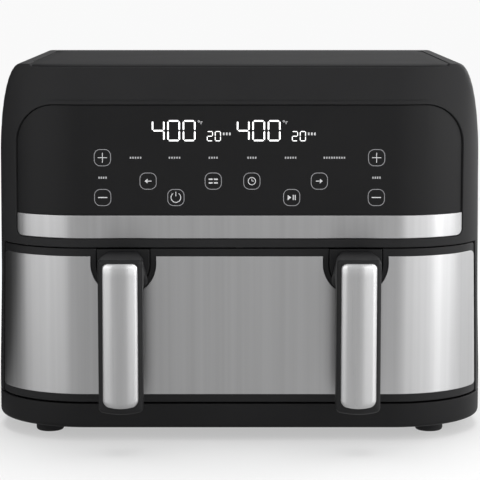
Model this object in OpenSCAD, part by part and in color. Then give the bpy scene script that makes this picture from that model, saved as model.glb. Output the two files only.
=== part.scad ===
// Countertop air fryer with one wide drawer, a removable divider and two cooking zones.
// Frame: +X to the right seen from the front, +Y to the back, +Z up.
// The origin is on the counter, at the centre of the whole outline. Millimetres.

/* [Body] */
// Width over the base of the body
body_w = 412; // [404:1:430]
// Height of the top cover above the counter
body_h = 311.5; // [308:0.5:325]
// Depth of the body, from the front face to the back face
body_d = 314; // [312:1:330]
// Wall thickness of the plastic shells
wall = 2.6; // [2:0.1:3]
// Radius of the upright front corners, seen from above
front_r = 79; // [77:1:82]
// Radius of the upright back corners, seen from above
back_r = 28; // [24:1:34]
// Height of the rubber feet
foot_h = 10.7; // [9:0.1:12]

/* [Front] */
// Top of the base, just below the drawer
base_top = 32; // [31:0.1:32.2]
// Bottom edge of the drawer front
drawer_z0 = 33.2; // [33:0.1:33.6]
// Top edge of the drawer front
drawer_z1 = 160.8; // [160:0.1:161]
// Half width of the drawer front
drawer_half = 198; // [197:0.1:198]
// Half width of the control panel
panel_half = 185.1; // [182:0.1:186]
// Bottom edge of the steel trim strip
strip_z0 = 169.1; // [168.8:0.1:169.5]
// Bottom edge of the control panel
panel_z0 = 188.2; // [187:0.1:190]
// Top edge of the control panel
panel_z1 = 278.4; // [276:0.1:280]

/* [Handles] */
// Distance of each handle from the middle
handle_x = 95.5; // [92:0.5:98]
// How far a handle stands out of the front face
handle_out = 56; // [50:1:60]
// Width of a handle
handle_w = 34.4; // [30:0.2:36]
// Width of a handle's steel face
grip_w = 28.6; // [24:0.2:29]

/* [Drawer] */
// Half width of the basket
basket_half = 176; // [170:1:177]
// Height of the basket's rim
basket_top = 147; // [140:1:150]
// Sheet thickness of the basket
basket_t = 1.2; // [1:0.1:1.5]

/* [Fans] */
// Distance of each fan from the middle
fan_x = 90; // [86:1:92]
// Radius of the fan shafts
shaft_r = 3; // [2.8:0.1:3.2]
// Radial clearance of the shafts in the motor bearings
running = 0.05; // [0.03:0.01:0.08]
// Blades on each fan
blades = 12; // [8:1:16]

/* [Hidden] */

$fn = 48;
seam = 0.6;                         // parting lines between the outer shells
half_w = body_w / 2;
depth = body_d + handle_out + 6;    // with the handles and the cord gland
front_y = handle_out - depth / 2;
back_y = front_y + body_d;
front_cx = half_w - front_r;
front_cy = front_y + front_r;

// Shoulder: the sides lean in a little, then turn into the top over a tall soft curve.
flare_z = 36;
shoulder_z = 225;
shoulder_x = 180;
shoulder_w = 21;
shoulder_power = 2 / 2.1;

// Top cover
cover_half = 173;
cover_t = 1.6;
cover_roll = 34;
cover_drop = 0.8;

// Upper corners of the control panel
panel_r = 33.5;

// Planes where shells meet
bezel_back = front_y + 72;
shell_back = back_y - 31.4;
ledge_depth = 40;
ledge_z0 = drawer_z1 + 0.9;
ledge_z1 = ledge_z0 + 3;
post_x = drawer_half + 0.8;

// Cooking cavity
liner_half = 188;
liner_t = 1.2;
liner_y0 = front_y + ledge_depth;
liner_y1 = 150;
liner_z0 = 32.6;
liner_z1 = 213;
ceiling_z1 = liner_z1 + liner_t;
door_half = 184;
door_z1 = 159.5;
rail_x = 140;
rail_z1 = 37.2;

// Basket and what lies in it
basket_z0 = rail_z1 + 0.5;
basket_y0 = -112;
basket_y1 = 140;
basket_floor = basket_z0 + basket_t;
plate_z0 = 50;
plate_t = 1.6;
plate_x0 = 5;
plate_x1 = basket_half - 4;
plate_y0 = basket_y0 + 5;
plate_y1 = basket_y1 - 5;

// Drawer front: steel sheet on a moulded frame, with a flat inner panel behind
steel_half = 196.8;
steel_z0 = 39.2;
steel_z1 = 154.4;
notch_half = 26.8;
notch_z = 148.5;
insert_half = 21.5;
insert_z = 147.5;
frame_face = 0.8;
frame_back = 5;
steel_t = 1.4;
inner_y0 = front_y + 15.6;
inner_y1 = basket_y0;
frame_bosses = [[-60, 60], [60, 60], [-130, 60], [130, 60], [-40, 140], [40, 140]];

// The drawer front widens downwards like the body: this share of x for each mm of height
flare_rate = 0.00012;

// Heating and air
fan_y = 15;
heater_z = 184;
heater_tube = 3.2;
heater_radii = [58, 40];
guard_z = 174;
fan_z0 = 191;
bracket_z = 226;
bracket_t = 1.6;
motor_z0 = bracket_z + bracket_t;
motor_h = 30;
motor_r = 24;
rotor_r = 18;
cool_z = motor_z0 + motor_h + 3;
shaft_top = cool_z + 12;
lead_y = [-12, 12];
lead_x = sqrt(heater_radii[0] * heater_radii[0] - 144);
probe_x = 165;
probe_y = 60;
cutout_y = -62;

// Screws
screw_r = 1.8;
screw_head = 3.8;
rear_screw_at = [[-120, 302], [120, 302], [-196.5, 120], [196.5, 120]];
base_screw_at = [[-198, -30], [198, -30], [-198, 120], [198, 120]];
handle_screw_z = [140, 152];

// Cord gland and switch
gland_x = 150;
gland_z = 60;
cord_r = 3.75;
gland_r = 9;
switch_z = 75;
foot_r = 11.7;
foot_at = [[-161, -87], [161, -87], [-161, 138], [161, 138]];

function arc(cx, cy, r, a0, a1, n) =
    [for (k = [0:n]) let (a = a0 + (a1 - a0) * k / n) [cx + r * cos(a), cy + r * sin(a)]];

function flip_x(points) = [for (k = [len(points) - 1:-1:0]) [-points[k][0], points[k][1]]];

// Outline of the body seen from above, moved in by i.
function plan_right(i) = concat(
    arc(front_cx, front_cy, front_r - i, -90, 0, 24),
    arc(half_w - back_r, back_y - back_r, back_r - i, 0, 90, 12));

function plan_points(i) = concat(plan_right(i), flip_x(plan_right(i)));

// Outline of the body seen from the front, moved in by i; lift raises the top.
function front_right(i, lift) = concat(
    [[half_w - 4 - i, foot_h + i], [half_w - i, foot_h + 5], [half_w - i, flare_z]],
    [for (k = [0:18]) let (a = 90 * k / 18)
        [shoulder_x + (shoulder_w - i) * pow(cos(a), shoulder_power),
         shoulder_z + (body_h + lift - shoulder_z - i) * pow(sin(a), shoulder_power)]]);

function front_points(i, lift) = concat(front_right(i, lift), flip_x(front_right(i, lift)));

// Widens an outline downwards like the body.
function flare(points) = [for (p = points) [p[0] * (1 + flare_rate * (drawer_z1 - p[1])), p[1]]];

// Rectangle from (x0, z0) to (x1, z1) with its own radius at the top and at the bottom.
function rounded(x0, z0, x1, z1, top, bottom) = concat(
    arc(x1 - bottom, z0 + bottom, bottom, -90, 0, 8), arc(x1 - top, z1 - top, top, 0, 90, 12),
    arc(x0 + top, z1 - top, top, 90, 180, 12), arc(x0 + bottom, z0 + bottom, bottom, 180, 270, 8));

// An outline drawn in X and Z, made solid from y0 to y1.
module along_y(y0, y1, points) {
    translate([0, y1, 0]) rotate([90, 0, 0]) linear_extrude(y1 - y0) polygon(points);
}

// An outline drawn in Y and Z, made solid from x0 to x1.
module along_x(x0, x1, points) {
    translate([x0, 0, 0]) rotate([90, 0, 90]) linear_extrude(x1 - x0) polygon(points);
}

// An outline drawn in X and Y, made solid from z0 to z1.
module along_z(z0, z1, points) {
    translate([0, 0, z0]) linear_extrude(z1 - z0) polygon(points);
}

module block(x0, y0, z0, x1, y1, z1) {
    translate([x0, y0, z0]) cube([x1 - x0, y1 - y0, z1 - z0]);
}

module rod_y(x, z, y0, y1, r) {
    translate([x, y1, z]) rotate([90, 0, 0]) cylinder(h = y1 - y0, r = r);
}

module rod_x(y, z, x0, x1, r) {
    translate([x0, y, z]) rotate([0, 90, 0]) cylinder(h = x1 - x0, r = r);
}

module rod_z(x, y, z0, z1, r) {
    translate([x, y, z0]) cylinder(h = z1 - z0, r = r);
}

module ring(x, y, z, big, small) {
    translate([x, y, z]) rotate_extrude() translate([big, 0]) circle(small);
}

// The body's outer form moved in by i, between two heights and two depths.
module body_form(i, lift, y0, y1, z0, z1) {
    intersection() {
        along_z(z0, z1, plan_points(i));
        along_y(y0, y1, front_points(i, lift));
    }
}

// A skin that follows the front, from inset i0 to inset i1.
module front_skin(i0, i1, z0, z1) {
    difference() {
        along_z(z0, z1, plan_points(i0));
        along_z(z0 - 1, z1 + 1, plan_points(i1));
        block(-half_w - 1, front_cy - 6, z0 - 1, half_w + 1, back_y + 9, z1 + 1);
    }
}

// A skin that follows the front inside an outline drawn in X and Z.
module front_tile(i0, i1, points) {
    intersection() {
        front_skin(i0, i1, foot_h, body_h);
        along_y(front_y - 9, front_cy, points);
    }
}

// Pocket that the top cover lies in.
module cover_pocket(z) {
    block(-cover_half - 0.4, front_y + 0.4, z, cover_half + 0.4, shell_back + 1, body_h + 9);
}

module main_housing() {
    color("#26272a") difference() {
        union() {
            difference() {
                body_form(0, 0, bezel_back + seam, shell_back, base_top + seam, body_h + 1);
                body_form(wall, -cover_t - 0.2, bezel_back - 1, shell_back + 1, base_top - 1, body_h);
            }
            for (p = rear_screw_at) rod_y(p[0], p[1], shell_back - 20, shell_back, 5.5);
            for (p = base_screw_at) rod_z(p[0], p[1], base_top + seam, base_top + 20, 5.5);
        }
        cover_pocket(body_h - cover_t);
        for (p = rear_screw_at) rod_y(p[0], p[1], shell_back - 17, shell_back + 1, screw_r + 0.05);
        for (p = base_screw_at) rod_z(p[0], p[1], base_top - 1, base_top + 16, screw_r + 0.05);
    }
}

module top_cover() {
    roll = [for (k = [0:12]) let (a = 90 * k / 12)
        [front_y + 1 + cover_roll * (1 - cos(a)), body_h - cover_drop + cover_drop * sin(a)]];
    outline = concat([[front_y + 1, body_h - cover_t]], roll,
                     [[shell_back, body_h], [shell_back, body_h - cover_t]]);
    color("#3a3b3d") intersection() {
        along_x(-cover_half, cover_half, outline);
        along_z(body_h - 9, body_h + 1, plan_points(0.6));
    }
}

module front_bezel() {
    color("#242528") difference() {
        union() {
            // Curved shell with the lintel over the drawer
            difference() {
                body_form(0, 0, front_y - 1, bezel_back, ledge_z0, body_h + 1);
                body_form(3, -cover_t, front_y - 1, bezel_back + 1, ledge_z1, body_h);
            }
            // Backing of the control panel
            front_tile(2.9, 6.2, rounded(-188, ledge_z1 - 1, 188, 285, 34, 2));
            // Posts beside the drawer
            difference() {
                body_form(0, 0, front_y - 1, bezel_back, base_top + seam, ledge_z0 + 1);
                body_form(3, 0, front_y - 1, bezel_back + 1, base_top, ledge_z0 + 2);
                along_y(front_y - 2, bezel_back + 1,
                    flare([[-post_x, base_top], [post_x, base_top], [post_x, 170], [-post_x, 170]]));
            }
        }
        // The lintel stops at the cavity
        block(-liner_half - 1.6, liner_y0 - 0.4, ledge_z0 - 1,
              liner_half + 1.6, bezel_back + 1, ledge_z1 + 1);
        cover_pocket(body_h - cover_t - seam);
        front_tile(-1, 3.4, rounded(-panel_half - 0.5, strip_z0 - 0.4, panel_half + 0.5, panel_z1 + 0.5,
            panel_r + 0.5, 5.4));
        along_y(front_y - 1, front_y + 9, rounded(-119, 195, 119, 273, 3, 3));
    }
}

module control_panel() {
    color("#1b1c1e") front_tile(0.8, 3.4, concat(
        [[-panel_half, panel_z0], [panel_half, panel_z0]],
        arc(panel_half - panel_r, panel_z1 - panel_r, panel_r, 0, 90, 16),
        arc(panel_r - panel_half, panel_z1 - panel_r, panel_r, 90, 180, 16)));
}

module trim_strip() {
    color("#9a9b9d") front_tile(0.4, 3.4, concat(
        arc(panel_half - 5, strip_z0 + 5, 5, -90, 0, 8), [[panel_half, panel_z0 - 0.1]],
        [[-panel_half, panel_z0 - 0.1]], arc(5 - panel_half, strip_z0 + 5, 5, 180, 270, 8)));
}

module rear_cover() {
    color("#242528") difference() {
        union() {
            difference() {
                body_form(0, 0, shell_back + seam, back_y + 1, base_top + seam, body_h + 1);
                body_form(wall, 0, shell_back - 1, back_y - wall, base_top - 1, body_h);
            }
            for (p = rear_screw_at) intersection() {
                rod_y(p[0], p[1], shell_back + seam, back_y, 6.5);
                body_form(0.4, 0, shell_back, back_y, base_top, body_h);
            }
        }
        for (p = rear_screw_at) rod_y(p[0], p[1], shell_back + 5, back_y + 1, screw_head + 0.4);
        for (p = rear_screw_at) rod_y(p[0], p[1], shell_back, shell_back + 6, screw_r + 0.1);
        rod_y(gland_x, gland_z, back_y - 9, back_y + 1, gland_r - 2);
        // Cooling louvres above, exhaust grille below
        for (k = [-9:9]) block(k * 14 - 4.5, back_y - 9, 236, k * 14 + 4.5, back_y + 1, 240);
        for (k = [-9:9]) block(k * 14 - 4.5, back_y - 9, 247, k * 14 + 4.5, back_y + 1, 251);
        for (k = [-9:9]) block(k * 14 - 4.5, back_y - 9, 258, k * 14 + 4.5, back_y + 1, 262);
        for (k = [-5:5]) block(k * 11 - 3, back_y - 9, 180, k * 11 + 3, back_y + 1, 204);
    }
}

module base_tray() {
    color("#232427") difference() {
        union() {
            difference() {
                body_form(0, 0, front_y - 1, back_y + 1, foot_h, base_top);
                body_form(wall, 0, front_y, back_y, foot_h + 2.5, base_top + 1);
            }
            for (p = base_screw_at) rod_z(p[0], p[1], foot_h + 1, base_top, 6.5);
            // Ribs that carry the cavity
            for (x = [-120, -60, 0, 60, 120]) block(x - 1, -90, foot_h + 1, x + 1, 148, base_top);
        }
        for (p = base_screw_at) rod_z(p[0], p[1], foot_h - 1, foot_h + 9, screw_head + 0.4);
        for (p = base_screw_at) rod_z(p[0], p[1], foot_h, base_top + 1, screw_r + 0.1);
        for (p = foot_at) rod_z(p[0], p[1], foot_h - 1, foot_h + 9, 3.05);
        for (k = [-6:6]) block(k * 16 - 4, 153, foot_h - 1, k * 16 + 4, 173, foot_h + 9);
    }
}

module feet() {
    color("#17181a") for (p = foot_at) {
        translate([p[0], p[1], 0]) cylinder(h = 3, r1 = foot_r - 1.2, r2 = foot_r);
        rod_z(p[0], p[1], 3, foot_h, foot_r);
        rod_z(p[0], p[1], foot_h - 1, foot_h + 6, 3);
    }
}

module cavity_liner() {
    color("#b4b6b8") difference() {
        block(-liner_half - liner_t, liner_y0, liner_z0,
              liner_half + liner_t, liner_y1 + liner_t, liner_z1);
        block(-liner_half, liner_y0 + liner_t, liner_z0 + liner_t, liner_half, liner_y1, liner_z1 + 1);
        block(-door_half, liner_y0 - 1, liner_z0 + liner_t, door_half, liner_y0 + 9, door_z1);
        block(-54, liner_y1 - 1, 178, 54, liner_y1 + 9, 206);
        rod_y(0, switch_z, liner_y1 - 9, liner_y1 + 9, 2.6);
    }
}

module cavity_ceiling() {
    color("#b4b6b8") difference() {
        block(-liner_half - liner_t, liner_y0, liner_z1,
              liner_half + liner_t, liner_y1 + liner_t, ceiling_z1);
        for (s = [-1, 1]) {
            rod_z(s * fan_x, fan_y, liner_z1 - 1, ceiling_z1 + 1, 6);
            for (y = lead_y) rod_z(s * (fan_x + lead_x), fan_y + y, liner_z1 - 1, ceiling_z1 + 1, 3.6);
            rod_z(s * probe_x, probe_y, liner_z1 - 1, ceiling_z1 + 1, 2.1);
        }
    }
}

module heat_shield() {
    color("#a9abae") difference() {
        union() {
            block(-180, liner_y0 + 5, ceiling_z1 + 4, 180, liner_y1 - 3, ceiling_z1 + 5);
            for (x = [-170, 0, 170]) for (y = [-70, 130]) rod_z(x, y, ceiling_z1, ceiling_z1 + 4.5, 4);
        }
        for (s = [-1, 1]) {
            block(s * fan_x - 58, fan_y - 42, liner_z1, s * fan_x + 58, fan_y + 42, 250);
            rod_z(s * fan_x, cutout_y, liner_z1, 250, 11);
            block(s * (fan_x + 58) - 5, fan_y - 18, liner_z1, s * (fan_x + 58) + 5, fan_y + 18, 250);
            rod_z(s * probe_x, probe_y, liner_z1, 250, 5);
        }
    }
}

module slide_rails() {
    color("#8f9194") for (s = [-1, 1])
        block(s * rail_x - 5, liner_y0 + 4, liner_z0 + liner_t, s * rail_x + 5, liner_y1 - 6, rail_z1);
}

// Each heater is two rings joined by short bridges, with two leads up through the ceiling.
module heater_element(s) {
    color("#6d6258") union() {
        for (r = heater_radii) ring(s * fan_x, fan_y, heater_z, r, heater_tube);
        for (a = [90, 210, 330]) translate([s * fan_x, fan_y, heater_z]) rotate([0, 0, a])
            rod_x(0, 0, heater_radii[1], heater_radii[0], 2);
        for (y = lead_y) rod_z(s * (fan_x + lead_x), fan_y + y, heater_z, ceiling_z1 + 14, 2.6);
    }
}

module heater_guard(s) {
    color("#b9bbbd") difference() {
        union() {
            rod_z(s * fan_x, fan_y, guard_z, guard_z + 1, 78);
            for (a = [45:90:359]) translate([s * fan_x, fan_y, 0]) rotate([0, 0, a])
                block(68, -4, guard_z, 69.2, 4, liner_z1);
        }
        for (a = [0:30:359]) translate([s * fan_x, fan_y, 0]) rotate([0, 0, a]) {
            block(16, -3, guard_z - 1, 34, 3, guard_z + 2);
            block(40, -5, guard_z - 1, 62, 5, guard_z + 2);
        }
    }
}

module motor(s) {
    color("#8b8d90") difference() {
        rod_z(s * fan_x, fan_y, motor_z0, motor_z0 + motor_h, motor_r);
        rod_z(s * fan_x, fan_y, motor_z0 + 3, motor_z0 + motor_h - 3, rotor_r + 1);
        rod_z(s * fan_x, fan_y, motor_z0 - 1, motor_z0 + motor_h + 1, shaft_r + running);
    }
}

module motor_bracket(s) {
    color("#9fa1a4") difference() {
        union() {
            block(s * fan_x - 52, fan_y - 34, bracket_z, s * fan_x + 52, fan_y + 34, motor_z0);
            for (x = [-47, 47]) for (y = [-29, 29])
                rod_z(s * fan_x + x, fan_y + y, ceiling_z1, bracket_z + 1, 4);
        }
        rod_z(s * fan_x, fan_y, bracket_z - 1, motor_z0 + 1, 9);
    }
}

module power_board() {
    color("#2f6b3c") union() {
        block(-38, 30, 236, 38, 140, 237.6);
        for (x = [-27, 27]) for (y = [37, 135]) rod_z(x, y, ceiling_z1 + 5, 236.5, 3);
    }
}

module board_parts() {
    color("#3c3f45") {
        block(-32, 44, 237.6, -14, 70, 254);
        block(-8, 44, 237.6, 10, 70, 254);
        block(-30, 80, 237.6, 2, 112, 262);
        rod_z(22, 92, 237.6, 266, 11);
        block(14, 112, 237.6, 34, 130, 250);
        block(16, 36, 237.6, 32, 66, 246);
    }
}

module display_board() {
    color("#2f6b3c") block(-124, front_y + 6.2, 190, 124, front_y + 7.8, 277);
}

module digit_display() {
    color("#1a1b1d") for (x = [-72, -3]) block(x, front_y + 3.5, 244, x + 66, front_y + 6.2, 269);
}

module touch_pads() {
    color("#c9a869") {
        for (x = [-113, 113]) for (z = [201, 234]) rod_y(x, z, front_y + 3.5, front_y + 6.2, 4);
        for (x = [-76, -22, 10, 66]) rod_y(x, 215, front_y + 3.5, front_y + 6.2, 4);
        for (x = [-53, 43]) rod_y(x, 201, front_y + 3.5, front_y + 6.2, 4);
    }
}

module wiring_harness() {
    color("#c8c8c8") {
        union() {
            block(-8, front_y + 7.8, 236, 8, front_y + 16, 244);
            rod_y(0, 240, front_y + 15, 28, 2.4);
            block(-8, 22, 237.7, 8, 34, 244);
        }
        for (s = [-1, 1]) union() {
            block(s * 45 - 4, 27, motor_z0 + 0.1, s * 45 + 4, 35, 242);
            rod_x(31, 241, s > 0 ? 8 : -49, s > 0 ? 49 : -8, 1.8);
        }
    }
}

module thermal_cutouts() {
    color("#e6e2d8") for (s = [-1, 1]) {
        rod_z(s * fan_x, cutout_y, ceiling_z1, ceiling_z1 + 3, 9);
        rod_z(s * fan_x, cutout_y, ceiling_z1 + 3, ceiling_z1 + 10, 6.5);
    }
}

module temperature_probes() {
    color("#c6c8ca") for (s = [-1, 1]) {
        rod_z(s * probe_x, probe_y, 190, ceiling_z1 + 8, 2);
        rod_z(s * probe_x, probe_y, ceiling_z1, ceiling_z1 + 3, 4);
    }
}

module exhaust_duct() {
    color("#a9abae") difference() {
        block(-60, liner_y1 + liner_t, 172, 60, back_y - wall, 212);
        block(-58, liner_y1, 174, 58, back_y, 210);
    }
}

module cord_gland() {
    color("#1c1d1f") difference() {
        union() {
            rod_y(gland_x, gland_z, back_y, back_y + 6, gland_r);
            rod_y(gland_x, gland_z, back_y - 12, back_y, gland_r - 2.1);
            rod_y(gland_x, gland_z, back_y - 12, back_y - wall - 0.1, gland_r);
        }
        rod_y(gland_x, gland_z, back_y - 13, back_y + 7, cord_r);
    }
}

module terminal_block() {
    color("#e4e1d6") block(gland_x - 45, liner_y1 + liner_t, 50, gland_x - 15, liner_y1 + 15, 72);
}

module drawer_switch() {
    color("#222326") difference() {
        block(-14, liner_y1 + liner_t, switch_z - 9, 14, liner_y1 + 17, switch_z + 9);
        rod_y(0, switch_z, liner_y1, liner_y1 + 13, 2 + running);
    }
}

module rear_screws() {
    color("#77797c") for (p = rear_screw_at) {
        rod_y(p[0], p[1], shell_back - 15, shell_back + 5, screw_r);
        rod_y(p[0], p[1], shell_back + 5, shell_back + 8, screw_head);
    }
}

module base_screws() {
    color("#77797c") for (p = base_screw_at) {
        rod_z(p[0], p[1], foot_h + 6, foot_h + 9, screw_head);
        rod_z(p[0], p[1], foot_h + 9, base_top + 14, screw_r);
    }
}

// Outline of the pocket that one handle fills, in X and Z.
function neck_outline(x, half, z, top) = concat(
    [[x + half, top], [x - half, top]], arc(x, z, half, 180, 360, 24));

module drawer_front() {
    color("#232427") difference() {
        union() {
            front_tile(frame_face, frame_back,
                flare(rounded(-drawer_half, drawer_z0, drawer_half, drawer_z1, 2, 2)));
            for (p = frame_bosses) rod_y(p[0], p[1], front_y + 4.5, inner_y0, 5);
        }
        difference() {
            front_tile(-1, steel_t,
                flare(rounded(-steel_half - 0.2, steel_z0 - 0.2,
                              steel_half + 0.2, steel_z1 + 0.2, 3.5, 2.5)));
            for (s = [-1, 1]) along_y(front_y - 9, front_y + 9,
                neck_outline(s * handle_x, notch_half - 0.2, notch_z, drawer_z1));
        }
        for (s = [-1, 1]) {
            along_y(front_y - 9, front_y + 2.6,
                    neck_outline(s * handle_x, insert_half + 0.6, insert_z, drawer_z1 + 9));
            for (z = handle_screw_z) rod_y(s * handle_x, z, front_y, front_y + 9, 2.2);
        }
        for (p = frame_bosses) rod_y(p[0], p[1], front_y + 6, inner_y0 + 1, screw_r + 0.05);
    }
}

module steel_front() {
    color("#a2a3a5") difference() {
        front_tile(0, steel_t, flare(rounded(-steel_half, steel_z0, steel_half, steel_z1, 3.5, 2.5)));
        for (s = [-1, 1]) along_y(front_y - 9, front_y + 9,
            neck_outline(s * handle_x, notch_half, notch_z, drawer_z1));
    }
}

module drawer_inner() {
    color("#2b2c2f") difference() {
        union() {
            along_y(inner_y0, inner_y1 - 0.1, rounded(-158, 36, 158, 155, 8, 8));
            for (z = [44, 100]) block(-150, inner_y0 - 5, z, 150, inner_y0 + 1, z + 2);
        }
        for (p = frame_bosses) {
            rod_y(p[0], p[1], inner_y0 - 1, inner_y1, screw_r + 0.1);
            rod_y(p[0], p[1], inner_y1 - 2.3, inner_y1 + 1, screw_head + 0.3);
        }
        for (x = [-100, 100]) rod_y(x, 128, inner_y0 - 1, inner_y1, screw_r + 0.05);
    }
}

// Plan of the basket, moved in by i.
function basket_plan(i) = concat(
    arc(basket_half - 45, basket_y0 + 45, 45 - i, -90, 0, 12),
    arc(basket_half - 30, basket_y1 - 30, 30 - i, 0, 90, 10),
    arc(30 - basket_half, basket_y1 - 30, 30 - i, 90, 180, 10),
    arc(45 - basket_half, basket_y0 + 45, 45 - i, 180, 270, 12));

module basket() {
    color("#2e2f31") difference() {
        union() {
            along_z(basket_z0, basket_top, basket_plan(0));
            intersection() {
                along_z(basket_top - basket_t, basket_top, basket_plan(-4));
                block(-200, basket_y0, 0, 200, basket_y1, 200);
            }
        }
        along_z(basket_floor, basket_top + 1, basket_plan(basket_t));
        for (x = [-100, 100]) rod_y(x, 128, basket_y0 - 1, basket_y0 + 9, screw_r + 0.1);
    }
}

// Side outline of a handle in Y and Z: an arm out of the drawer front, then the grip hanging down.
function handle_side() = let (f = front_y - handle_out + 3.4, b = f + 22) concat(
    [[front_y + 2.5, 160.3], [front_y, 160.3]],
    arc(f + 9, 149.6, 9, 90, 180, 8),
    arc(f + 6, 39.5, 6, 180, 270, 6),
    arc(b - 5, 38.5, 5, 270, 360, 6),
    arc(b + 14, 126, 14, 180, 90, 8),
    [[front_y, 126], [front_y + 2.5, 126]]);

module handle_core(s) {
    f = front_y - handle_out + 3.4;
    taper = [[s * handle_x - handle_w / 2, f - 1], [s * handle_x + handle_w / 2, f - 1],
             [s * handle_x + handle_w / 2, front_y - 22], [s * handle_x + insert_half, front_y - 5],
             [s * handle_x + insert_half, front_y + 3], [s * handle_x - insert_half, front_y + 3],
             [s * handle_x - insert_half, front_y - 5], [s * handle_x - handle_w / 2, front_y - 22]];
    color("#232427") difference() {
        intersection() {
            along_x(s * handle_x - 30, s * handle_x + 30, handle_side());
            along_z(30, 165, taper);
            union() {
                block(s * handle_x - 30, f - 1, 30, s * handle_x + 30, front_y - 5, 165);
                along_y(front_y - 6, front_y + 3, neck_outline(s * handle_x, insert_half, insert_z, 165));
            }
        }
        for (z = handle_screw_z) rod_y(s * handle_x, z, front_y - 10, front_y + 3, screw_r + 0.05);
    }
}

module handle_grip(s) {
    f = front_y - handle_out;
    color("#a5a6a8") along_y(f, f + 3.3,
        rounded(s * handle_x - grip_w / 2, 38.4, s * handle_x + grip_w / 2, 156, 4.5, 4.5));
}

module handle_screws() {
    color("#77797c") for (s = [-1, 1]) for (z = handle_screw_z) {
        rod_y(s * handle_x, z, front_y - 9, front_y + frame_back, screw_r);
        rod_y(s * handle_x, z, front_y + frame_back, front_y + frame_back + 2.2, screw_head);
    }
}

module drawer_screws() {
    color("#77797c") for (p = frame_bosses) {
        rod_y(p[0], p[1], front_y + 7, inner_y1 - 2.2, screw_r);
        rod_y(p[0], p[1], inner_y1 - 2.25, inner_y1 - 0.2, screw_head);
    }
}

module basket_screws() {
    color("#9a9c9f") for (x = [-100, 100]) {
        rod_y(x, 128, inner_y0 - 3, basket_y0 + basket_t, screw_r);
        rod_y(x, 128, basket_y0 + basket_t, basket_y0 + basket_t + 2, screw_head);
    }
}

divider_y0 = basket_y0 + basket_t + 0.5;
divider_y1 = basket_y1 - basket_t - 0.5;
divider_z0 = basket_floor + 0.4;

module divider_plate() {
    color("#2e2f31") union() {
        block(-1, divider_y0 + 3, divider_z0 + 3, 1, divider_y1 - 3, 143);
        block(-3, divider_y0 + 12, 139, 3, divider_y1 - 12, 145);
    }
}

module divider_seal() {
    color("#3b3c40") difference() {
        block(-2.8, divider_y0, divider_z0, 2.8, divider_y1, 142);
        block(-4, divider_y0 + 8, divider_z0 + 8, 4, divider_y1 - 8, 143);
        block(-1, divider_y0 + 3, divider_z0 + 3, 1, divider_y1 - 3, 143);
    }
}

// Plan of one crisper plate: square beside the divider, rounded along the basket wall.
function crisper_plan(s) = let (a = concat(
    [[plate_x0, plate_y1], [plate_x0, plate_y0]],
    arc(plate_x1 - 41, plate_y0 + 41, 41, -90, 0, 12),
    arc(plate_x1 - 26, plate_y1 - 26, 26, 0, 90, 10))) s > 0 ? a : flip_x(a);

module crisper(s) {
    color("#333436") difference() {
        union() {
            along_z(plate_z0, plate_z0 + plate_t, crisper_plan(s));
            for (y = [-80, 110]) block(min(s * 60, s * 120), y, plate_z0 + plate_t,
                                       max(s * 60, s * 120), y + 2, plate_z0 + plate_t + 3);
        }
        for (i = [0:7]) for (j = [0:10])
            rod_z(s * (20 + 20 * i - (i == 7 ? 4 : 0)), -72 + 17.5 * j, plate_z0 - 1, plate_z0 + 9, 4);
        for (x = [40, 140]) for (y = [-95, 125]) rod_z(s * x, y, plate_z0 - 1, plate_z0 + 9, 2.05);
    }
}

module crisper_feet(s) {
    color("#4a4b4f") for (x = [40, 140]) for (y = [-95, 125]) {
        rod_z(s * x, y, basket_floor + 0.3, plate_z0, 5);
        rod_z(s * x, y, plate_z0 - 1, plate_z0 + plate_t, 2);
        rod_z(s * x, y, plate_z0 + plate_t, plate_z0 + plate_t + 1.6, 4);
    }
}

module fan_shaft(s) {
    color("#c4c6c8") union() {
        rod_z(s * fan_x, fan_y, fan_z0, shaft_top, shaft_r);
        rod_z(s * fan_x, fan_y, motor_z0 + 5, motor_z0 + motor_h - 5, rotor_r);
    }
}

// A fan wheel: a disc with upright blades round a hub, bored for the shaft.
module fan_wheel(s, z, r, tall, disc_z) {
    difference() {
        union() {
            rod_z(s * fan_x, fan_y, disc_z, disc_z + 1, r);
            rod_z(s * fan_x, fan_y, z, z + tall, 8);
            for (k = [0:blades - 1]) translate([s * fan_x, fan_y, 0]) rotate([0, 0, k * 360 / blades])
                block(r * 0.45, -0.6, z, r - 1, 0.6, z + tall);
        }
        rod_z(s * fan_x, fan_y, z - 1, z + tall + 1, shaft_r);
    }
}

module convection_fan(s) {
    color("#b3b5b8") fan_wheel(s, fan_z0, 52, 14, fan_z0 + 13.5);
}

module cooling_fan(s) {
    color("#2c2d30") fan_wheel(s, cool_z, 40, 11, cool_z);
}

module switch_plunger() {
    color("#b23a34") rod_y(0, switch_z, basket_y1 + 0.5, liner_y1 + 11, 2);
}

main_housing();
top_cover();
front_bezel();
control_panel();
trim_strip();
rear_cover();
base_tray();
feet();
cavity_liner();
cavity_ceiling();
heat_shield();
slide_rails();
heater_element(-1);  // heater_left
heater_element(1);  // heater_right
heater_guard(-1);  // heater_guard_left
heater_guard(1);  // heater_guard_right
motor(-1);  // motor_left
motor(1);  // motor_right
motor_bracket(-1);  // motor_bracket_left
motor_bracket(1);  // motor_bracket_right
power_board();
board_parts();
display_board();
digit_display();
touch_pads();
wiring_harness();
thermal_cutouts();
temperature_probes();
exhaust_duct();
cord_gland();
terminal_block();
drawer_switch();
rear_screws();
base_screws();
drawer_front();
steel_front();
drawer_inner();
basket();
handle_core(-1);  // handle_core_left
handle_core(1);  // handle_core_right
handle_grip(-1);  // handle_grip_left
handle_grip(1);  // handle_grip_right
handle_screws();
drawer_screws();
basket_screws();
divider_plate();
divider_seal();
crisper(-1);  // crisper_left
crisper(1);  // crisper_right
crisper_feet(-1);  // crisper_feet_left
crisper_feet(1);  // crisper_feet_right
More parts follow.
